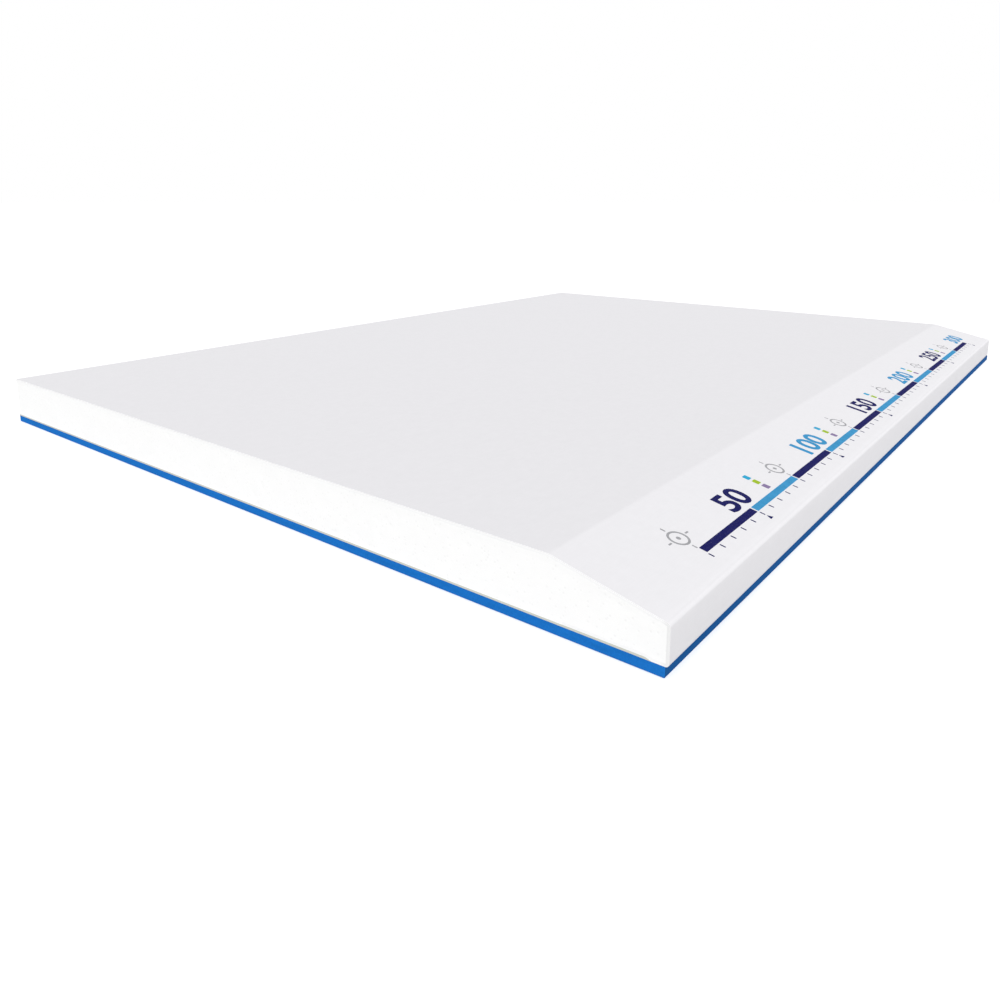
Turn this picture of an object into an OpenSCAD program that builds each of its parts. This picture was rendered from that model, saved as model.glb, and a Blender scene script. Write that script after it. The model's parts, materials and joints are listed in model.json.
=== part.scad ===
// Piece of tapered-edge plasterboard with a membrane bonded to its back, lying face up.
// X runs across the sheet to the tapered long edge, Y along that edge, and Z up.
// The origin is below the middle of the sheet, on the underside of the membrane.

/* [Sheet] */
// Width across the sheet, from the cut edge to the tapered long edge
sheet_w = 240; // [100:1:1250]
// Length along the tapered edge, between the two cut ends
sheet_l = 325; // [50:1:3600]
// Thickness of the board at its flat face, with both papers
board_t = 12.5; // [9.5:0.5:25]

/* [Tapered edge] */
// Width of the tapered strip, measured across the sheet
taper_w = 23; // [10:0.5:60]
// How much thinner the board is at its long edge
taper_drop = 5.1; // [0.5:0.1:6]
// Radius of the core where the flat face bends down into the taper
bend_r = 4; // [1:0.5:60]
// Radius of the core where the taper turns down the long edge
shoulder_r = 0.2; // [0.1:0.1:2]
// Radius of the core where the long edge turns under the board
heel_r = 0.1; // [0.1:0.1:1]

/* [Papers] */
// Thickness of the face paper
face_paper_t = 0.6; // [0.2:0.05:0.9]
// How far the face paper is folded under, measured from the long edge
paper_lap = 20; // [10:0.5:60]
// Thickness of the back paper
back_paper_t = 0.4; // [0.2:0.05:0.9]
// How far the back paper stays back from the long edge, where the folded face paper shows
back_margin = 3; // [2.5:0.5:6]
// Width over which the back paper thins out to its edge, on the folded face paper
feather_w = 1.2; // [0.5:0.1:3]

/* [Membrane] */
// Thickness of the membrane bonded to the back
membrane_t = 2; // [0.5:0.1:6]
// How far the membrane stays back from the long edge at the near end
near_inset = 0.7; // [0:0.1:3]
// How far the membrane stays back from the long edge at the far end
far_inset = 0; // [0:0.1:3]

/* [Hidden] */

// Straight pieces that stand for each round stretch of the section
bend_steps = 6;
shoulder_steps = 10;
heel_steps = 6;

half_w = sheet_w / 2;
half_l = sheet_l / 2;

// Heights of the layers, from the underside of the membrane up
back_top_z = membrane_t + back_paper_t;
board_top_z = membrane_t + board_t;
core_top_z = board_top_z - face_paper_t;

// The taper falls in a straight line from the flat face to the long edge
taper_angle = atan(taper_drop / taper_w);

// Outer radii of the face paper, which follows the core at its own thickness
bend_outer_r = bend_r + face_paper_t;
shoulder_outer_r = shoulder_r + face_paper_t;
heel_outer_r = heel_r + face_paper_t;

// Centres of the round stretches, set so that the paper's outside meets the sheet's sizes
bend_c = [half_w - taper_w - bend_outer_r * tan(taper_angle / 2), board_top_z - bend_outer_r];
shoulder_drop = taper_drop - shoulder_outer_r * tan(taper_angle) + shoulder_outer_r / cos(taper_angle);
shoulder_c = [half_w - shoulder_outer_r, board_top_z - shoulder_drop];
heel_c = [half_w - heel_outer_r, membrane_t + heel_outer_r];

// The folded face paper ends in the core, and climbs over the feathered edge of the back paper
lap_x = half_w - paper_lap;
back_edge_x = half_w - back_margin;
feather_x = back_edge_x - feather_w;
feather_angle = atan(back_paper_t / feather_w);

function arc(centre, radius, from, to, steps) = [
    for (i = [0:steps])
        let (a = from + (to - from) * i / steps)
            centre + radius * [cos(a), sin(a)]
];

// The long edge from its heel to the flat face, at a distance outside the core
function edge_path(outside) = concat(
    arc(heel_c, heel_r + outside, -90, 0, heel_steps),
    arc(shoulder_c, shoulder_r + outside, 0, 90 - taper_angle, shoulder_steps),
    arc(bend_c, bend_r + outside, 90 - taper_angle, 90, bend_steps)
);

// The fold from its end to the heel, at a distance above the underside of the paper
function fold_path(above) =
    let (mitre = above * tan(feather_angle / 2))
        [
            [lap_x, back_top_z + above],
            [feather_x + mitre, back_top_z + above],
            [back_edge_x + mitre, membrane_t + above]
        ];

function reversed(points) = [for (i = [len(points) - 1:-1:0]) points[i]];

// The core stands on the back paper, and is stepped in above the folded face paper
core_section = concat(
    [[-half_w, back_top_z], [lap_x, back_top_z]],
    fold_path(face_paper_t),
    edge_path(0),
    [[-half_w, core_top_z]]
);

// The face paper runs from the cut edge over the taper, down the long edge and under it
face_paper_section = concat(
    fold_path(0),
    edge_path(face_paper_t),
    [[-half_w, board_top_z], [-half_w, core_top_z]],
    reversed(edge_path(0)),
    reversed(fold_path(face_paper_t))
);

back_paper_section = [
    [-half_w, membrane_t],
    [back_edge_x, membrane_t],
    [feather_x, back_top_z],
    [-half_w, back_top_z]
];

// Seen from above, the membrane's long edge runs slightly out of true
membrane_outline = [
    [-half_w, -half_l],
    [half_w - near_inset, -half_l],
    [half_w - far_inset, half_l],
    [-half_w, half_l]
];

// Runs a section, drawn across the sheet, along the length of the sheet
module along_sheet(section) {
    rotate([90, 0, 0])
        linear_extrude(sheet_l, center = true)
            polygon(section);
}

module gypsum_core() {
    color("#fbfaf8")
        along_sheet(core_section);
}

module face_paper() {
    color("#e8e7ea")
        along_sheet(face_paper_section);
}

module back_paper() {
    color("#d8d2c6")
        along_sheet(back_paper_section);
}

module backing_membrane() {
    color("#1c6fc1")
        linear_extrude(membrane_t)
            polygon(membrane_outline);
}

gypsum_core();
face_paper();
back_paper();
backing_membrane();
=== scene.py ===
"""A cut piece of tapered-edge plasterboard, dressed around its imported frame."""

import json
import math

import bmesh
import bpy
from bpy.props import FloatProperty, FloatVectorProperty, PointerProperty
from mathutils import Matrix, Vector

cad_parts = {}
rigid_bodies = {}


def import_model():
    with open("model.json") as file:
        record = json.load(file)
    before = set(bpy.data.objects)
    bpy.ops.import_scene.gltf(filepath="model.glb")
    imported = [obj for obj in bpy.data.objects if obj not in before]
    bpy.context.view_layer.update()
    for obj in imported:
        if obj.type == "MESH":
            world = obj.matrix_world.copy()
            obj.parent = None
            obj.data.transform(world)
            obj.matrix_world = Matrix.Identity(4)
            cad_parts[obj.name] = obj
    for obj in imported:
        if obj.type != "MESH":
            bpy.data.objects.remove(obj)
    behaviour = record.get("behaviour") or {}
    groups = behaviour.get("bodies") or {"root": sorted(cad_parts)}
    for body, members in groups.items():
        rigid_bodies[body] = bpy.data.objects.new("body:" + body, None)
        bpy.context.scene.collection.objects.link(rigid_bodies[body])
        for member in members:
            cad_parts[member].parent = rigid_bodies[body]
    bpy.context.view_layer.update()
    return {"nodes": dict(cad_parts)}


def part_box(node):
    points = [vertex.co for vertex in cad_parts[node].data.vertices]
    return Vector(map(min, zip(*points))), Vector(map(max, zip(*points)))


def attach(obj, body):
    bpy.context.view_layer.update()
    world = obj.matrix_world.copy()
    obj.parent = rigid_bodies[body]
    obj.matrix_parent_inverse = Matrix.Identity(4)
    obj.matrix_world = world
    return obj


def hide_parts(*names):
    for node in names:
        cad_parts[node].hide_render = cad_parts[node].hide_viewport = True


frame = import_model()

bl_info = {
    "name": "Plasterboard Piece",
    "version": (1, 0, 0),
    "blender": (4, 5, 0),
    "location": "View3D > Sidebar > Plasterboard",
    "description": "Builds a cut piece of tapered-edge plasterboard with a membrane on its back",
    "category": "Add Mesh",
}

MM = 0.001
QUARTER = math.pi / 2
WHITE = (1.0, 1.0, 1.0)
BODY = "root"

# Points nearer than this are one point, on the board and on a printed mark
SAME_POINT = 0.0005 * MM
SAME_MARK_POINT = 0.005 * MM
# Points and faces this near to a plane count as lying on it
ON_PLANE = 0.01 * MM
# Unit normals whose dot product is over this point the same way
SAME_WAY = 0.99

# Edges that turn more than this are rounded
SHARP_TURN = math.radians(60)
# Edges that turn less than this are shaded smooth, on formed pieces and on sawn faces
FORMED_TURN = math.radians(20)
SAWN_TURN = math.radians(40)

# Sockets of a Mix node that is set to mix colours
MIX_FIRST = 6
MIX_SECOND = 7
MIX_RESULT = 2


# Settings

def length(name, description, default, low=0.0):
    """A setting in metres"""
    return FloatProperty(
        name=name, description=description, default=default, min=low, unit="LENGTH", precision=5
    )


def angle(name, description, degrees):
    """A setting for an angle, written in degrees"""
    return FloatProperty(
        name=name, description=description, default=math.radians(degrees), subtype="ANGLE"
    )


def amount(name, description, default, low=0.0):
    """A setting for a plain number"""
    return FloatProperty(name=name, description=description, default=default, min=low)


def colour(name, description, default):
    """A setting for a linear colour"""
    return FloatVectorProperty(
        name=name, description=description, default=default, size=3, min=0.0, max=1.0, subtype="COLOR"
    )


class BoardSizes(bpy.types.PropertyGroup):
    """Sizes of the wrapped tapered edge and of the relief on the cut faces"""

    taper_width: length("Taper width", "Width of the tapered strip across the sheet", 23 * MM)
    taper_drop: length("Taper drop", "How much thinner the board is at its long edge", 5.1 * MM)
    bend_radius: length("Bend radius", "Core radius where the flat face turns into the taper", 4 * MM)
    shoulder_radius: length("Shoulder radius", "Core radius where the taper turns down", 0.2 * MM)
    heel_radius: length("Heel radius", "Core radius where the long edge turns under", 0.1 * MM)
    paper_lap: length("Paper lap", "How far the face paper is folded under", 20 * MM)
    feather_width: length("Feather width", "Width over which the back paper thins out", 1.2 * MM)
    near_inset: length("Near inset", "How far the membrane stays back at the near end", 0.7 * MM)
    # Width of the painted highlight: the paper is painted paler along the taper's low side
    rubbed_strip: length("Highlight strip", "Width of the paler strip at the taper's low side", 2 * MM)
    paper_soft_edge: length("Paper edge", "Rounding of the cut edges of the paper", 0.03 * MM)
    membrane_soft_edge: length("Membrane edge", "Rounding of the edges of the membrane", 0.12 * MM)
    cut_step: length("Cut face step", "Mesh size on the sawn faces of the core", 0.45 * MM, 0.1 * MM)
    saw_depth: length("Saw waves", "Depth of the unevenness left by the saw", 0.05 * MM)
    saw_size: length("Saw wave size", "Size of the unevenness left by the saw", 5 * MM)
    pore_depth: length("Pore depth", "Depth of the opened air pores", 0.09 * MM)
    pore_pitch: length("Pore pitch", "Typical distance between the larger air pores", 3.2 * MM)


class BoardColours(bpy.types.PropertyGroup):
    """Colours of the board's own materials"""

    gypsum: colour("Gypsum", "Set gypsum on the sawn faces", (0.975, 0.975, 0.972))
    face_paper: colour("Face paper", "Outside of the face paper", (0.84, 0.832, 0.857))
    paper_cut: colour("Cut paper", "Fibres in the cut edge of the face paper", (0.955, 0.955, 0.955))
    # Painted shade: the cut paper is darkened where it turns round the long edge
    creased_cut: colour("Shaded paper", "Cut paper, bent round the long edge", (0.86, 0.86, 0.86))
    back_paper: colour("Back paper", "Grey-beige paper on the underside", (0.62, 0.635, 0.565))
    membrane: colour("Membrane", "Fresh cut of the membrane", (0.0110, 0.159, 0.530))
    # Painted shade: a darker copy of the membrane colour for its long side, carried on to the underside
    membrane_skin: colour("Membrane skin", "Darkened skin of the membrane", (0.0110, 0.0986, 0.312))


class PrintSettings(bpy.types.PropertyGroup):
    """The measuring scale printed along the taper, with its rows measured up from the long edge"""

    first_mark: length("First mark", "Where the scale starts, from the near end", 25 * MM)
    bare_end: length("Bare end", "Length left without marks at the far end", 22 * MM)
    pointer_row: length("Pointer row", "Middle of the row of pointers", 2.9 * MM)
    tick_row: length("Tick row", "Middle of the row of ticks", 4.6 * MM)
    bar_row: length("Bar row", "Middle of the row of bars", 6.4 * MM)
    number_row: length("Number row", "Middle of the row of numbers and fixing marks", 11.3 * MM)
    number_pitch: length("Number pitch", "Distance between numbers", 50 * MM, 10 * MM)
    number_height: length("Number height", "Height of the numbers", 6.2 * MM)
    number_stretch: amount("Number stretch", "How much wider the numbers are than their font", 1.3, 0.5)
    number_weight: amount("Number weight", "How far the strokes of the numbers are thickened", 0.026)
    bar_height: length("Bar height", "Height of the bars", 1.7 * MM)
    bar_gap: length("Bar gap", "Gap between neighbouring bars", 0.5 * MM)
    tick_pitch: length("Tick pitch", "Distance between ticks", 5 * MM, 1 * MM)
    tick_width: length("Tick width", "Width of one tick", 0.4 * MM)
    tick_length: length("Tick length", "Length of one tick", 1.2 * MM)
    pointer_radius: length("Pointer size", "Reach of a pointer from its middle", 0.85 * MM)
    ring_radius: length("Ring radius", "Outer radius of a fixing mark's ring", 2.3 * MM)
    ring_width: length("Ring width", "Width of a fixing mark's ring", 0.5 * MM)
    sight_length: length("Sight length", "Length of a fixing mark's sight lines", 1.1 * MM)
    patch_after: length("Patch place", "Distance of the colour patches after a number", 13.5 * MM)
    patch_size: length("Patch size", "Side of one colour patch", 1.7 * MM)
    patch_gap: length("Patch gap", "Gap between colour patches", 0.6 * MM)
    round_corner: length("Round corner", "Rounding of the corners of printed marks", 0.12 * MM)
    ink_thickness: length("Ink thickness", "Thickness of the ink, half of it in the paper", 0.03 * MM)
    navy: colour("Navy ink", "Ink of the scale and of every second number", (0.0105, 0.0112, 0.100))
    light_blue: colour("Light blue ink", "Ink of the other bars and numbers", (0.052, 0.300, 0.570))
    grey: colour("Grey ink", "Ink of the fixing marks", (0.36, 0.36, 0.38))
    violet: colour("Violet ink", "Ink of the lowest colour patch", (0.26, 0.20, 0.36))
    lime: colour("Lime ink", "Ink of the middle colour patch", (0.36, 0.52, 0.03))
    cyan: colour("Cyan ink", "Ink of the highest colour patch", (0.03, 0.38, 0.62))


class StageSettings(bpy.types.PropertyGroup):
    """Camera, light and floor"""

    camera_place: FloatVectorProperty(
        name="Camera place", description="Where the camera stands",
        default=(169.6 * MM, -267.4 * MM, 73.4 * MM), size=3, unit="LENGTH"
    )
    camera_turn: angle("Camera turn", "Turn of the camera about the vertical", 38.35)
    camera_dip: angle("Camera dip", "How far the camera looks down", 10.60)
    lens: amount("Lens", "Focal length in millimetres", 28.865, 1.0)
    sensor: amount("Sensor", "Width of the camera's sensor in millimetres", 36, 1.0)
    shift: amount("Shift", "Vertical shift of the lens", -0.15, -1.0)
    nearest_seen: length("Nearest seen", "Distance at which the camera starts to see", 1 * MM)
    farthest_seen: length("Farthest seen", "Distance at which the camera stops seeing", 100.0)
    key_from: FloatVectorProperty(
        name="Key direction", description="Direction that the key light comes from",
        default=(0.482, -0.639, 0.600), size=3, subtype="DIRECTION"
    )
    key_strength: amount("Key light", "Strength of the key light", 2.20)
    key_spread: angle("Key spread", "Apparent size of the key light", 30)
    sky_strength: amount("Sky light", "Strength of the light all round", 0.55)
    floor_size: length("Floor size", "Side of the floor", 40.0)
    floor_gap: length("Floor gap", "How far the floor lies below the board", 0.05 * MM)
    floor_bounce: amount("Floor bounce", "Share of light that the floor gives back to the board", 0.59)
    floor_lift: amount("Floor lift", "Light added to the floor as the camera sees it", 0.2)


# Section of the board

class Section:
    """The board's section across the sheet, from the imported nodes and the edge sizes"""

    def __init__(self, sizes):
        # Reach of the sheet and heights of its layers
        self.core_low, self.core_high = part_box("gypsum_core")
        paper_low, paper_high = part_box("face_paper")
        self.half_w = paper_high.x
        self.half_l = paper_high.y
        self.top = paper_high.z
        self.paper_t = paper_high.x - self.core_high.x
        self.membrane_top = paper_low.z
        self.back_top = self.core_low.z

        # Slope of the taper, and the near end of its low side
        self.angle = math.atan(sizes.taper_drop / sizes.taper_width)
        self.downhill = Vector((math.cos(self.angle), 0, -math.sin(self.angle)))
        self.outward = Vector((math.sin(self.angle), 0, math.cos(self.angle)))
        self.taper_foot = Vector((self.half_w, -self.half_l, self.top - sizes.taper_drop))
        # Width of the painted highlight along the taper's low side
        self.rubbed_strip = sizes.rubbed_strip

        # Round stretches of the core, set so that the paper's outside meets the sheet's sizes
        self.bend_r = sizes.bend_radius
        self.shoulder_r = sizes.shoulder_radius
        self.heel_r = sizes.heel_radius
        bend_out = self.bend_r + self.paper_t
        shoulder_out = self.shoulder_r + self.paper_t
        heel_out = self.heel_r + self.paper_t
        bend_x = self.half_w - sizes.taper_width - bend_out * math.tan(self.angle / 2)
        self.bend_c = Vector((bend_x, 0, self.top - bend_out))
        drop = sizes.taper_drop + shoulder_out * (1 / math.cos(self.angle) - math.tan(self.angle))
        self.shoulder_c = Vector((self.half_w - shoulder_out, 0, self.top - drop))
        self.heel_c = Vector((self.half_w - heel_out, 0, self.membrane_top + heel_out))

        # Straight stretch of the paper's outside between the bend and the shoulder
        self.bend_end = self.bend_c + self.outward * bend_out
        self.shoulder_start = self.shoulder_c + self.outward * shoulder_out

        # Fold under the board
        self.lap_x = self.half_w - sizes.paper_lap
        self.back_edge_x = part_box("back_paper")[1].x
        self.feather_x = self.back_edge_x - sizes.feather_width
        self.feather_angle = math.atan((self.back_top - self.membrane_top) / sizes.feather_width)

    def fold_points(self, above):
        """The fold's end, its crest and its foot, at a distance above the underside of the paper"""
        mitre = above * math.tan(self.feather_angle / 2)
        return (
            Vector((self.lap_x, 0, self.back_top + above)),
            Vector((self.feather_x + mitre, 0, self.back_top + above)),
            Vector((self.back_edge_x + mitre, 0, self.membrane_top + above)),
        )

    def taper_place(self):
        """Lays flat marks on the taper: X along the sheet from the near end, Y up from the long edge"""
        axes = Matrix((Vector((0, 1, 0)), -self.downhill, self.outward)).transposed()
        return Matrix.Translation(self.taper_foot) @ axes.to_4x4()


# Modelling helpers

def object_mode():
    """Leaves edit mode"""
    if bpy.context.mode != "OBJECT":
        bpy.ops.object.mode_set(mode="OBJECT")


def nothing_selected():
    """Leaves nothing selected before a new object is added"""
    object_mode()
    bpy.ops.object.select_all(action="DESELECT")


def only(piece):
    """Selects one object and makes it active"""
    nothing_selected()
    piece.select_set(True)
    bpy.context.view_layer.objects.active = piece


def added(name):
    """Names the object that the last operator added"""
    piece = bpy.context.object
    piece.name = name
    piece.data.name = name
    return piece


def fix_place(piece):
    """Puts an object's place, turn and scale into its mesh"""
    only(piece)
    bpy.ops.object.transform_apply(location=True, rotation=True, scale=True)


def edit(piece, select="FACE"):
    """Opens a piece in edit mode with all of it selected"""
    only(piece)
    bpy.ops.object.mode_set(mode="EDIT")
    bpy.ops.mesh.select_mode(type=select)
    bpy.ops.mesh.select_all(action="SELECT")


def pick(piece, kind, test):
    """In edit mode, selects only the vertices, edges or faces that pass a test"""
    bpy.ops.mesh.select_all(action="DESELECT")
    mesh = bmesh.from_edit_mesh(piece.data)
    for element in getattr(mesh, kind):
        if test(element):
            element.select_set(True)
    mesh.select_flush_mode()
    bmesh.update_edit_mesh(piece.data)


def trim(point, outward):
    """In edit mode, cuts away all that lies outside a plane"""
    bpy.ops.mesh.select_all(action="SELECT")
    bpy.ops.mesh.bisect(plane_co=point, plane_no=outward, clear_outer=True, threshold=SAME_POINT)


def extrude(offset):
    """In edit mode, draws the selection out"""
    bpy.ops.mesh.extrude_region_move(TRANSFORM_OT_translate={"value": offset})


def spin(centre, turn, steps):
    """In edit mode, turns the selected edge outwards and down about a line along the sheet"""
    bpy.ops.mesh.spin(steps=steps, angle=turn, center=centre, axis=(0, -1, 0))


def modify(piece, kind, **settings):
    """Adds a modifier and applies it at once"""
    only(piece)
    modifier = piece.modifiers.new(kind.title(), kind)
    for key, value in settings.items():
        setattr(modifier, key, value)
    bpy.ops.object.modifier_apply(modifier=modifier.name)


def smooth(piece, turn):
    """Shades a piece smooth across edges that turn less than an angle"""
    only(piece)
    bpy.ops.object.shade_smooth_by_angle(angle=turn)


def soften(piece, width):
    """Rounds the sharp edges of a piece"""
    modify(piece, "BEVEL", width=width, segments=2, limit_method="ANGLE", angle_limit=SHARP_TURN)
    smooth(piece, FORMED_TURN)


def join(pieces, name):
    """Makes several meshes one named piece"""
    only(pieces[0])
    for piece in pieces[1:]:
        piece.select_set(True)
    bpy.ops.object.join()
    return added(name)


def dress(piece, material, node=None):
    """Gives a new piece its material and hangs it on the frame"""
    piece.data.materials.clear()
    piece.data.materials.append(material)
    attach(piece, BODY)
    if node:
        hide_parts(node)


# Flat marks

def round_corners(piece, corner):
    """Rounds the corners of a flat mark"""
    edit(piece, "VERT")
    bpy.ops.mesh.bevel(offset=corner, segments=3, affect="VERTICES")
    object_mode()


def bar(name, x, y, width, height, corner):
    """A flat bar with round corners"""
    nothing_selected()
    bpy.ops.mesh.primitive_plane_add(size=1, location=(x, y, 0))
    piece = added(name)
    piece.scale = (width, height, 1)
    fix_place(piece)
    round_corners(piece, corner)
    return piece


def dot(name, x, y, radius, sides=40):
    """A flat dot, round unless it is given few sides"""
    nothing_selected()
    bpy.ops.mesh.primitive_circle_add(
        vertices=sides, radius=radius, fill_type="NGON", location=(x, y, 0)
    )
    piece = added(name)
    fix_place(piece)
    return piece


def ring(name, x, y, radius, width):
    """A flat ring"""
    piece = dot(name, x, y, radius)
    edit(piece)
    bpy.ops.mesh.inset(thickness=width)
    bpy.ops.mesh.delete(type="FACE")
    object_mode()
    return piece


def pointer(name, x, y, radius, corner):
    """A flat triangle that points up to the scale"""
    piece = dot(name, x, y, radius, sides=3)
    round_corners(piece, corner)
    return piece


def number(value, x, y, height, stretch, weight):
    """A flat bold number, centred on its place"""
    nothing_selected()
    bpy.ops.object.text_add(location=(0, 0, 0))
    lettering = bpy.context.object.data
    lettering.body = str(value)
    lettering.offset = weight
    lettering.resolution_u = 5
    bpy.ops.object.convert(target="MESH")
    piece = added("number_%d" % value)
    reach = [vertex.co for vertex in piece.data.vertices]
    low = Vector((min(p.x for p in reach), min(p.y for p in reach), 0))
    high = Vector((max(p.x for p in reach), max(p.y for p in reach), 0))
    share = height / (high.y - low.y)
    piece.scale = (share * stretch, share, 1)
    piece.location = Vector((x, y, 0)) - (low + high) / 2 * piece.scale
    fix_place(piece)
    return piece


def repeat(piece, count, pitch):
    """Repeats a flat mark along the scale"""
    modify(
        piece, "ARRAY", count=count, use_relative_offset=False, use_constant_offset=True,
        constant_offset_displace=(pitch, 0, 0)
    )
    return piece


def lay_ink(marks, name, section, thickness, material):
    """Joins flat marks of one ink, gives them their thickness and lays them on the taper"""
    piece = join(marks, name)
    edit(piece)
    bpy.ops.mesh.remove_doubles(threshold=SAME_MARK_POINT)
    modify(piece, "SOLIDIFY", thickness=thickness, offset=0)
    piece.matrix_world = section.taper_place()
    fix_place(piece)
    smooth(piece, FORMED_TURN)
    dress(piece, material)


class PrintedScale:
    """Flat marks of the measuring scale, with X along the sheet and Y up from the long edge"""

    def __init__(self, style, sheet_length):
        self.style = style
        self.last_place = sheet_length - style.bare_end

    def fill(self, mark, first, pitch):
        """Repeats a mark as often as the sheet has room for it"""
        return repeat(mark, int((self.last_place - first) / pitch) + 1, pitch)

    def bars(self, turn):
        """Every second bar of the two-tone scale, each half as long as the number pitch"""
        style = self.style
        cell = style.number_pitch / 2
        x = style.first_mark + cell * (turn + 0.5)
        mark = bar("bar", x, style.bar_row, cell - style.bar_gap, style.bar_height, style.round_corner)
        return self.fill(mark, x, style.number_pitch)

    def numbers(self, turn):
        """Every second number, as its distance from the near end in millimetres"""
        style = self.style
        marks = []
        place = style.number_pitch * (1 + turn)
        while place < self.last_place:
            marks.append(number(
                round(place / MM), place, style.number_row, style.number_height,
                style.number_stretch, style.number_weight
            ))
            place += 2 * style.number_pitch
        return marks

    def ticks(self):
        """Short ticks below the bars"""
        style = self.style
        x = style.first_mark
        mark = bar("tick", x, style.tick_row, style.tick_width, style.tick_length, style.round_corner)
        return self.fill(mark, x, style.tick_pitch)

    def pointers(self):
        """A pointer up to the scale below each number"""
        style = self.style
        x = style.number_pitch
        mark = pointer("pointer", x, style.pointer_row, style.pointer_radius, style.round_corner)
        return self.fill(mark, x, x)

    def fixing_marks(self):
        """Rings with a dot and four sight lines, midway between the numbers"""
        style = self.style
        x, y = style.first_mark, style.number_row
        reach = style.ring_radius + style.ring_width + style.sight_length / 2
        marks = [
            ring("ring", x, y, style.ring_radius, style.ring_width),
            dot("dot", x, y, style.ring_width),
        ]
        for side in (-1, 1):
            along = (x + side * reach, y, style.sight_length, style.tick_width)
            upright = (x, y + side * reach, style.tick_width, style.sight_length)
            marks += [bar("sight", *shape, style.round_corner) for shape in (along, upright)]
        return [self.fill(mark, x, style.number_pitch) for mark in marks]

    def patches(self, row):
        """One ink's patches of the small colour stack after each number"""
        style = self.style
        x = style.number_pitch + style.patch_after
        y = style.number_row + row * (style.patch_size + style.patch_gap)
        mark = bar("patch", x, y, style.patch_size, style.patch_size, 2 * style.round_corner)
        return self.fill(mark, x, style.number_pitch)


# Node helpers

class Nodes:
    """Short calls to fill the node tree of a material or a world"""

    def __init__(self, owner):
        owner.use_nodes = True
        self.tree = owner.node_tree

    def add(self, kind, **settings):
        """A new node with its settings"""
        node = self.tree.nodes.new(kind)
        for key, value in settings.items():
            setattr(node, key, value)
        return node

    def link(self, source, target):
        """Links an output to a socket"""
        self.tree.links.new(source, target)

    def feed(self, socket, value):
        """Links an output to a socket, or sets the socket to a number or colour"""
        if isinstance(value, bpy.types.NodeSocket):
            self.link(value, socket)
        else:
            socket.default_value = value

    def calc(self, operation, first, second=0.0):
        """A sum of one or two values"""
        node = self.add("ShaderNodeMath", operation=operation)
        self.feed(node.inputs[0], first)
        self.feed(node.inputs[1], second)
        return node.outputs["Value"]

    def blend(self, first, share, second):
        """Two values added, with a share of the first and the rest of the second"""
        rest = self.calc("MULTIPLY", second, 1 - share)
        return self.calc("ADD", self.calc("MULTIPLY", first, share), rest)

    def spread(self, value, low=0.0, high=1.0, start=0.0, end=1.0):
        """Maps a range of values to another, with its ends held"""
        node = self.add("ShaderNodeMapRange")
        self.link(value, node.inputs["Value"])
        node.inputs["From Min"].default_value = low
        node.inputs["From Max"].default_value = high
        node.inputs["To Min"].default_value = start
        node.inputs["To Max"].default_value = end
        return node.outputs["Result"]

    def mix(self, share, first, second):
        """Mixes two colours by a share"""
        node = self.add("ShaderNodeMix", data_type="RGBA")
        self.link(share, node.inputs["Factor"])
        for index, value in ((MIX_FIRST, first), (MIX_SECOND, second)):
            plain = not isinstance(value, bpy.types.NodeSocket)
            self.feed(node.inputs[index], (*value, 1.0) if plain else value)
        return node.outputs[MIX_RESULT]


class Finish(Nodes):
    """A new material with one shader, and patterns that lie fixed on the piece"""

    def __init__(self, name, roughness, specular):
        self.material = bpy.data.materials.new(name)
        super().__init__(self.material)
        self.shader = self.tree.nodes["Principled BSDF"]
        self.shader.inputs["Roughness"].default_value = roughness
        self.shader.inputs["Specular IOR Level"].default_value = specular
        self.place = self.add("ShaderNodeTexCoord").outputs["Object"]

    def stretched(self, scale):
        """Coordinates that draw a pattern out where the scale is small"""
        mapping = self.add("ShaderNodeMapping")
        mapping.inputs["Scale"].default_value = scale
        self.link(self.place, mapping.inputs["Vector"])
        return mapping.outputs["Vector"]

    def noise(self, size, detail=3.0, place=None):
        """Noise with features of about a size, from 0 to 1"""
        node = self.add("ShaderNodeTexNoise")
        node.inputs["Scale"].default_value = 1 / size
        node.inputs["Detail"].default_value = detail
        self.link(place or self.place, node.inputs["Vector"])
        return node.outputs["Fac"]

    def cells(self, size):
        """Distance to the nearest of many scattered points, in shares of their pitch"""
        node = self.add("ShaderNodeTexVoronoi")
        node.inputs["Scale"].default_value = 1 / size
        self.link(self.place, node.inputs["Vector"])
        return node.outputs["Distance"]

    def axis(self, name):
        """One coordinate of the place on the piece"""
        node = self.add("ShaderNodeSeparateXYZ")
        self.link(self.place, node.inputs["Vector"])
        return node.outputs[name]

    def paint(self, source):
        """Gives the shader its colour"""
        self.link(source, self.shader.inputs["Base Color"])

    def bump(self, height, depth, strength):
        """Gives the shader its fine relief"""
        node = self.add("ShaderNodeBump")
        node.inputs["Strength"].default_value = strength
        node.inputs["Distance"].default_value = depth
        self.link(height, node.inputs["Height"])
        self.link(node.outputs["Normal"], self.shader.inputs["Normal"])


def shade(base, share):
    """A colour made lighter or darker by a share"""
    return tuple(min(1.0, part * share) for part in base)


# Materials

def gypsum_material(colours):
    """Sawn gypsum: chalky, with fine pores painted darker as shade, and faint cloudy tone"""
    nodes = Finish("sawn_gypsum", roughness=0.95, specular=0.08)
    cloud = nodes.spread(nodes.noise(4 * MM, detail=5), 0.3, 0.7)
    tone = nodes.mix(cloud, shade(colours.gypsum, 0.988), colours.gypsum)
    pores = nodes.spread(nodes.cells(1.1 * MM), 0.10, 0.26)
    grain = nodes.noise(0.25 * MM, detail=2)
    # Painted shade: the pores are coloured darker, besides their bump
    nodes.paint(nodes.mix(pores, shade(colours.gypsum, 0.95), tone))
    nodes.bump(nodes.blend(pores, 0.6, grain), depth=0.06 * MM, strength=0.4)
    return nodes.material


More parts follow.
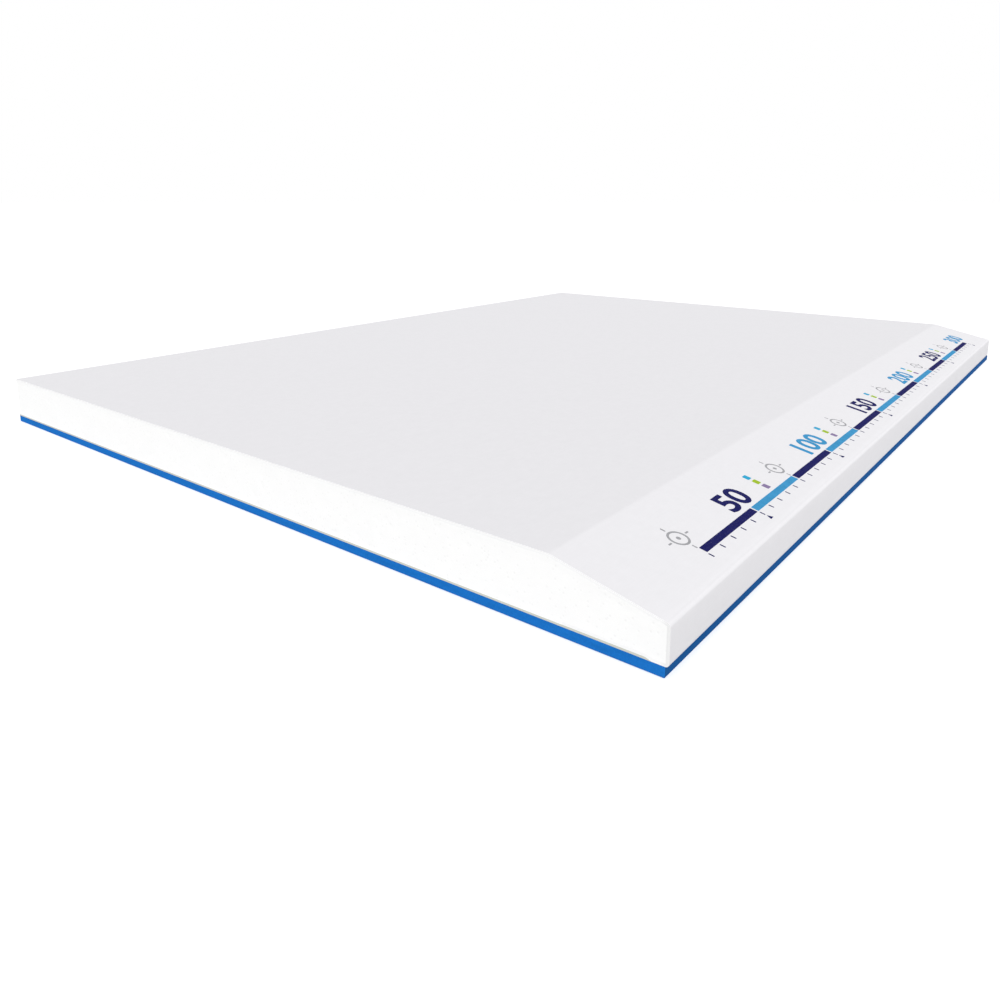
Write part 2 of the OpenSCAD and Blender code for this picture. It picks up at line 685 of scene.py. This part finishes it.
def paper_material(name, face, cut, shaded_cut, section):
    """Board paper: fibres along the sheet, a soft mottle, a painted highlight along the taper's low
    side, and pulp where it is cut
    """
    nodes = Finish(name, roughness=0.85, specular=0.12)
    fibres = nodes.noise(0.35 * MM, place=nodes.stretched((1.0, 0.1, 1.0)))
    strays = nodes.noise(0.5 * MM, detail=2, place=nodes.stretched((0.2, 1.0, 1.0)))
    weave = nodes.blend(fibres, 0.65, strays)
    skin = paper_skin(nodes, weave, face, section)
    pulp = paper_pulp(nodes, cut, shaded_cut, section)
    along = nodes.calc("ABSOLUTE", nodes.axis("Y"))
    cut_ends = nodes.calc("GREATER_THAN", along, section.half_l - ON_PLANE)
    cut_side = nodes.calc("LESS_THAN", nodes.axis("X"), ON_PLANE - section.half_w)
    nodes.paint(nodes.mix(nodes.calc("MAXIMUM", cut_ends, cut_side), skin, pulp))
    nodes.bump(weave, depth=0.03 * MM, strength=0.25)
    return nodes.material


def paper_skin(nodes, weave, face, section):
    """Outside of the paper, with a painted highlight along the taper's low side down to where it turns
    """
    mottle = nodes.noise(2.2 * MM, detail=4)
    cloud = nodes.spread(nodes.blend(weave, 0.6, mottle), 0.35, 0.65)
    plain_skin = nodes.mix(cloud, shade(face, 0.985), shade(face, 1.012))
    # Painted highlight: a paler copy of the paper for the taper's low side
    highlighted = nodes.mix(cloud, shade(face, 1.01), shade(face, 1.037))
    highlight_start = section.half_w - section.rubbed_strip
    highlight_full = highlight_start + section.rubbed_strip / 2
    low_on_taper = nodes.spread(nodes.axis("X"), highlight_start, highlight_full)
    turn_top = section.shoulder_start.z
    turn_fade = 0.1 * MM
    above_turn = nodes.spread(nodes.axis("Z"), turn_top, turn_top + turn_fade)
    return nodes.mix(nodes.calc("MULTIPLY", low_on_taper, above_turn), plain_skin, highlighted)


def paper_pulp(nodes, cut, shaded_cut, section):
    """Cut edge of the paper, painted darker as shade where it is turned round the long edge"""
    shade_reach = 1 * MM
    shade_full = section.core_high.x
    # Painted shade on the cut paper where it turns round the long edge
    bent = nodes.spread(nodes.axis("X"), shade_full - shade_reach, shade_full)
    plies = nodes.spread(nodes.noise(0.12 * MM, detail=2), 0.3, 0.7)
    dark_ply = nodes.mix(bent, shade(cut, 0.97), shade(shaded_cut, 0.97))
    return nodes.mix(plies, dark_ply, nodes.mix(bent, cut, shaded_cut))


def membrane_material(colours, painted_shade_from):
    """Filled elastomer: fine mineral grain, with a darker copy on the long side and the underside as
    painted shade
    """
    nodes = Finish("blue_membrane", roughness=0.85, specular=0.05)
    grain = nodes.noise(0.3 * MM)
    streak = nodes.noise(0.8 * MM, detail=2, place=nodes.stretched((0.15, 0.15, 1.0)))
    tone = nodes.spread(nodes.calc("ADD", grain, streak), 0.75, 1.25)
    cut = nodes.mix(tone, shade(colours.membrane, 0.92), shade(colours.membrane, 1.08))
    # Painted shade: the darker copy of the membrane for the long side and the underside
    skin = nodes.mix(tone, shade(colours.membrane_skin, 0.93), shade(colours.membrane_skin, 1.07))
    long_edge = nodes.calc("GREATER_THAN", nodes.axis("X"), painted_shade_from)
    underside = nodes.calc("LESS_THAN", nodes.axis("Z"), ON_PLANE)
    nodes.paint(nodes.mix(nodes.calc("MAXIMUM", long_edge, underside), cut, skin))
    nodes.bump(grain, depth=0.05 * MM, strength=0.3)
    return nodes.material


def ink_material(name, ink, paper):
    """Printing ink that lets a little of the paper through"""
    nodes = Finish(name, roughness=0.8, specular=0.05)
    cloud = nodes.spread(nodes.noise(1.5 * MM, detail=2), 0.3, 0.7)
    body = nodes.mix(cloud, shade(ink, 0.92), shade(ink, 1.1))
    show_through = 0.07
    thin = tuple(a + (b - a) * show_through for a, b in zip(ink, paper))
    patches = nodes.noise(0.3 * MM)
    nodes.paint(nodes.mix(nodes.spread(patches, 0.55, 0.8), body, thin))
    nodes.bump(patches, depth=0.01 * MM, strength=0.2)
    return nodes.material


# Pieces

class BOARD_OT_gypsum_core(bpy.types.Operator):
    """Models the gypsum core with its sawn faces"""

    bl_idname = "board.gypsum_core"
    bl_label = "Gypsum Core"

    # Flat cuts that stand for each round stretch of the section
    bend_cuts = 4
    shoulder_cuts = 5
    heel_cuts = 1
    # Shares of the pitch where a pore has its full depth and where it ends
    pore_floor = 0.06
    pore_rim = 0.20

    def execute(self, context):
        sizes = context.scene.board_sizes
        section = Section(sizes)
        piece = self.trimmed_grid(section, sizes.cut_step)
        self.room_for_fold(piece, section, sizes.cut_step)
        self.run_along(piece, section, sizes.cut_step)
        self.roughen(piece, sizes)
        smooth(piece, SAWN_TURN)
        dress(piece, gypsum_material(context.scene.board_colours), "gypsum_core")
        return {"FINISHED"}

    def trimmed_grid(self, section, step):
        """A fine grid half way along the sheet, trimmed to the core's round stretches"""
        low, high = section.core_low, section.core_high
        width, height = high.x - low.x, high.z - low.z
        nothing_selected()
        bpy.ops.mesh.primitive_grid_add(
            x_subdivisions=round(width / step), y_subdivisions=round(height / step), size=1,
            location=((low.x + high.x) / 2, 0, (low.z + high.z) / 2), rotation=(QUARTER, 0, 0)
        )
        piece = added("sawn_gypsum_core")
        piece.scale = (width, height, 1)
        fix_place(piece)
        edit(piece)
        taper_turn = QUARTER - section.angle
        for centre, radius, start, end, cuts in (
            (section.bend_c, section.bend_r, QUARTER, taper_turn, self.bend_cuts),
            (section.shoulder_c, section.shoulder_r, taper_turn, 0, self.shoulder_cuts),
            (section.heel_c, section.heel_r, 0, -QUARTER / 2, self.heel_cuts),
        ):
            for i in range(1, cuts + 1):
                toward = start + (end - start) * i / cuts
                outward = Vector((math.cos(toward), 0, math.sin(toward)))
                trim(centre + outward * radius, outward)
        return piece

    def room_for_fold(self, piece, section, step):
        """Takes out the room that the folded face paper fills under the core"""
        end, crest, foot = section.fold_points(section.paper_t)
        slope = foot - crest
        across, up = Vector((1, 0, 0)), Vector((0, 0, 1))
        off_slope = Vector((-slope.z, 0, slope.x)).normalized()

        def near_fold(face):
            centre = face.calc_center_median()
            return centre.x > end.x - step and centre.z < crest.z + step

        # Cuts along the fold's outline, so that only whole faces have to go
        for point, normal in (
            (end, across), (crest, across), (foot, across),
            (crest, up), (foot, up), (crest, off_slope),
        ):
            pick(piece, "faces", near_fold)
            bpy.ops.mesh.bisect(plane_co=point, plane_no=normal, threshold=SAME_POINT)

        def in_fold(face):
            centre = face.calc_center_median()
            share = min(max((centre.x - crest.x) / slope.x, 0), 1)
            return centre.x > end.x and centre.z < crest.z + slope.z * share

        pick(piece, "faces", in_fold)
        bpy.ops.mesh.delete(type="FACE")

    def run_along(self, piece, section, step):
        """Thickens the section to both ends of the sheet and divides the sawn long side"""
        modify(piece, "SOLIDIFY", thickness=2 * section.half_l, offset=0)
        edit(piece, "EDGE")

        def long_side_edge(edge):
            first, second = (v.co for v in edge.verts)
            on_side = max(first.x, second.x) < ON_PLANE - section.half_w
            return on_side and abs(first.y - second.y) > section.half_l

        pick(piece, "edges", long_side_edge)
        bpy.ops.mesh.subdivide(number_cuts=round(2 * section.half_l / step) - 1)

    def roughen(self, piece, sizes):
        """Presses saw waves and pores into the sawn faces, inside a flat rim"""
        bpy.ops.mesh.select_mode(type="VERT")
        normals = (Vector((0, -1, 0)), Vector((0, 1, 0)), Vector((-1, 0, 0)))

        def inside_sawn_face(vertex):
            return any(
                all(face.normal.dot(normal) > SAME_WAY for face in vertex.link_faces)
                for normal in normals
            )

        pick(piece, "verts", inside_sawn_face)
        bpy.ops.mesh.select_less()
        piece.vertex_groups.new(name="sawn")
        bpy.ops.object.vertex_group_assign()
        object_mode()
        waves = bpy.data.textures.new("saw_waves", "CLOUDS")
        waves.noise_scale = sizes.saw_size
        waves.noise_depth = 3
        pores = bpy.data.textures.new("air_pores", "VORONOI")
        pores.noise_scale = sizes.pore_pitch
        pores.use_color_ramp = True
        bottom, brim = pores.color_ramp.elements
        for mark, position, level in ((bottom, self.pore_floor, 0), (brim, self.pore_rim, 1)):
            mark.position = position
            mark.color = (level, level, level, 1)
        for texture, depth in ((waves, sizes.saw_depth), (pores, sizes.pore_depth)):
            modify(
                piece, "DISPLACE", texture=texture, texture_coords="LOCAL", vertex_group="sawn",
                mid_level=1.0, strength=depth
            )


class BOARD_OT_face_paper(bpy.types.Operator):
    """Models the face paper, wrapped round the tapered edge"""

    bl_idname = "board.face_paper"
    bl_label = "Face Paper"

    # Straight steps that stand for each round stretch of the section
    bend_steps = 8
    shoulder_steps = 12
    heel_steps = 8
    # Narrow strip that keeps the shading of the bend off the broad flat face
    flat_strip = 3 * MM

    def execute(self, context):
        sizes = context.scene.board_sizes
        colours = context.scene.board_colours
        section = Section(sizes)
        piece = self.wrapped_sheet(section)
        modify(piece, "SOLIDIFY", thickness=section.paper_t, offset=-1, use_even_offset=True)
        soften(piece, sizes.paper_soft_edge)
        paper = paper_material(
            "face_paper", colours.face_paper, colours.paper_cut, colours.creased_cut, section
        )
        dress(piece, paper, "face_paper")
        return {"FINISHED"}

    def wrapped_sheet(self, section):
        """The outside of the paper, folded from one flat sheet"""
        flat_end = section.bend_c.x - self.flat_strip
        flat = flat_end + section.half_w
        nothing_selected()
        bpy.ops.mesh.primitive_plane_add(size=1, location=(-section.half_w + flat / 2, 0, section.top))
        piece = added("wrapped_face_paper")
        piece.scale = (flat, 2 * section.half_l, 1)
        fix_place(piece)
        edit(piece, "EDGE")
        pick(piece, "edges", lambda edge: min(v.co.x for v in edge.verts) > flat_end - ON_PLANE)
        extrude((self.flat_strip, 0, 0))
        spin(section.bend_c, section.angle, self.bend_steps)
        extrude(section.shoulder_start - section.bend_end)
        spin(section.shoulder_c, QUARTER - section.angle, self.shoulder_steps)
        extrude((0, 0, section.heel_c.z - section.shoulder_c.z))
        spin(section.heel_c, QUARTER, self.heel_steps)
        end, crest, foot = section.fold_points(0)
        extrude((foot.x - section.heel_c.x, 0, 0))
        extrude(crest - foot)
        extrude(end - crest)
        bpy.ops.mesh.select_all(action="SELECT")
        bpy.ops.mesh.normals_make_consistent(inside=False)
        object_mode()
        # On an open sheet the faces may all have turned inwards
        if max(piece.data.polygons, key=lambda face: face.area).normal.z < 0:
            edit(piece)
            bpy.ops.mesh.flip_normals()
            object_mode()
        return piece


class BOARD_OT_back_paper(bpy.types.Operator):
    """Finishes the back paper"""

    bl_idname = "board.back_paper"
    bl_label = "Back Paper"

    def execute(self, context):
        base = context.scene.board_colours.back_paper
        section = Section(context.scene.board_sizes)
        sheet = frame["nodes"]["back_paper"]
        sheet.data.materials.clear()
        sheet.data.materials.append(paper_material("back_paper", base, base, base, section))
        return {"FINISHED"}


class BOARD_OT_backing_membrane(bpy.types.Operator):
    """Models the membrane on the back"""

    bl_idname = "board.backing_membrane"
    bl_label = "Backing Membrane"

    def execute(self, context):
        sizes = context.scene.board_sizes
        low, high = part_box("backing_membrane")
        nothing_selected()
        bpy.ops.mesh.primitive_cube_add(size=1, location=(low + high) / 2)
        piece = added("blue_backing_membrane")
        piece.scale = high - low
        fix_place(piece)
        edit(piece, "VERT")
        pick(piece, "verts", lambda vertex: vertex.co.x > 0 and vertex.co.y < 0)
        bpy.ops.transform.translate(value=(-sizes.near_inset, 0, 0))
        object_mode()
        soften(piece, sizes.membrane_soft_edge)
        # Where the painted shade of the long side begins
        painted_shade_from = high.x - sizes.near_inset - ON_PLANE
        material = membrane_material(context.scene.board_colours, painted_shade_from)
        dress(piece, material, "backing_membrane")
        return {"FINISHED"}


class BOARD_OT_edge_print(bpy.types.Operator):
    """Prints a measuring scale with fixing marks along the taper"""

    bl_idname = "board.edge_print"
    bl_label = "Edge Print"

    def execute(self, context):
        style = context.scene.board_print
        section = Section(context.scene.board_sizes)
        scale = PrintedScale(style, 2 * section.half_l)
        inks = {
            "navy": [scale.bars(0), *scale.numbers(0), scale.ticks(), scale.pointers()],
            "light_blue": [scale.bars(1), *scale.numbers(1)],
            "grey": scale.fixing_marks(),
            "violet": [scale.patches(-1)],
            "lime": [scale.patches(0)],
            "cyan": [scale.patches(1)],
        }
        paper = context.scene.board_colours.face_paper
        for name, marks in inks.items():
            ink = ink_material(name + "_ink", getattr(style, name), paper)
            lay_ink(marks, name + "_edge_print", section, style.ink_thickness, ink)
        return {"FINISHED"}


class BOARD_OT_stage(bpy.types.Operator):
    """Sets the floor, the light and the camera"""

    bl_idname = "board.stage"
    bl_label = "Stage"

    def execute(self, context):
        stage = context.scene.board_stage
        self.floor(stage)
        self.sky(context.scene, stage)
        self.key_light(stage)
        self.camera(context.scene, stage)
        context.scene.view_settings.view_transform = "Standard"
        return {"FINISHED"}

    def seen_directly(self, nodes):
        """1 for rays that come straight from the camera, a mirror or glass"""
        path = nodes.add("ShaderNodeLightPath")
        seen = path.outputs["Is Camera Ray"]
        for name in ("Is Glossy Ray", "Is Transmission Ray"):
            seen = nodes.calc("MAXIMUM", seen, path.outputs[name])
        return seen

    def floor(self, stage):
        """A white floor that keeps the object's shadow and gives back less light than it shows"""
        nothing_selected()
        bpy.ops.mesh.primitive_plane_add(size=stage.floor_size, location=(0, 0, -stage.floor_gap))
        floor = added("floor")
        material = bpy.data.materials.new("pale_floor")
        nodes = Nodes(material)
        nodes.tree.nodes.clear()
        seen = self.seen_directly(nodes)
        diffuse = nodes.add("ShaderNodeBsdfDiffuse")
        nodes.link(nodes.mix(seen, [stage.floor_bounce] * 3, WHITE), diffuse.inputs["Color"])
        glow = nodes.add("ShaderNodeEmission")
        nodes.link(nodes.calc("MULTIPLY", seen, stage.floor_lift), glow.inputs["Strength"])
        both = nodes.add("ShaderNodeAddShader")
        nodes.link(diffuse.outputs["BSDF"], both.inputs[0])
        nodes.link(glow.outputs["Emission"], both.inputs[1])
        output = nodes.add("ShaderNodeOutputMaterial")
        nodes.link(both.outputs["Shader"], output.inputs["Surface"])
        floor.data.materials.append(material)

    def sky(self, scene, stage):
        """Even light from all round, seen as white"""
        scene.world = bpy.data.worlds.new("studio")
        nodes = Nodes(scene.world)
        nodes.tree.nodes.clear()
        background = nodes.add("ShaderNodeBackground")
        background.inputs["Color"].default_value = (*WHITE, 1.0)
        strength = nodes.spread(self.seen_directly(nodes), start=stage.sky_strength)
        nodes.link(strength, background.inputs["Strength"])
        output = nodes.add("ShaderNodeOutputWorld")
        nodes.link(background.outputs["Background"], output.inputs["Surface"])

    def key_light(self, stage):
        """A broad sun from in front of the board"""
        bpy.ops.object.light_add(type="SUN", location=(0, 0, 1))
        lamp = bpy.context.object
        lamp.name = "key_light"
        lamp.data.energy = stage.key_strength
        lamp.data.angle = stage.key_spread
        lamp.rotation_euler = Vector(stage.key_from).to_track_quat("Z", "Y").to_euler()

    def camera(self, scene, stage):
        """A camera low over the near corner"""
        bpy.ops.object.camera_add(
            location=stage.camera_place, rotation=(QUARTER - stage.camera_dip, 0, stage.camera_turn)
        )
        camera = bpy.context.object
        camera.name = "photo_camera"
        camera.data.sensor_width = stage.sensor
        camera.data.lens = stage.lens
        camera.data.shift_y = stage.shift
        camera.data.clip_start = stage.nearest_seen
        camera.data.clip_end = stage.farthest_seen
        scene.camera = camera


# Panel and registration

PIECES = (
    BOARD_OT_gypsum_core, BOARD_OT_face_paper, BOARD_OT_back_paper, BOARD_OT_backing_membrane,
    BOARD_OT_edge_print, BOARD_OT_stage,
)
SETTINGS = {
    "board_sizes": BoardSizes,
    "board_colours": BoardColours,
    "board_print": PrintSettings,
    "board_stage": StageSettings,
}


class BOARD_PT_pieces(bpy.types.Panel):
    """The board's pieces and settings"""

    bl_label = "Plasterboard"
    bl_space_type = "VIEW_3D"
    bl_region_type = "UI"
    bl_category = "Plasterboard"

    def draw(self, context):
        for operator in PIECES:
            self.layout.operator(operator.bl_idname)
        for name, group in SETTINGS.items():
            box = self.layout.box()
            for key in group.__annotations__:
                box.prop(getattr(context.scene, name), key)


CLASSES = (*SETTINGS.values(), *PIECES, BOARD_PT_pieces)


def register():
    for cls in CLASSES:
        bpy.utils.register_class(cls)
    for name, group in SETTINGS.items():
        setattr(bpy.types.Scene, name, PointerProperty(type=group))


def unregister():
    for name in SETTINGS:
        delattr(bpy.types.Scene, name)
    for cls in reversed(CLASSES):
        bpy.utils.unregister_class(cls)


def main():
    """Builds the board and its stage"""
    register()
    bpy.ops.board.gypsum_core()
    bpy.ops.board.face_paper()
    bpy.ops.board.back_paper()
    bpy.ops.board.backing_membrane()
    bpy.ops.board.edge_print()
    bpy.ops.board.stage()


if __name__ == "__main__":
    main()
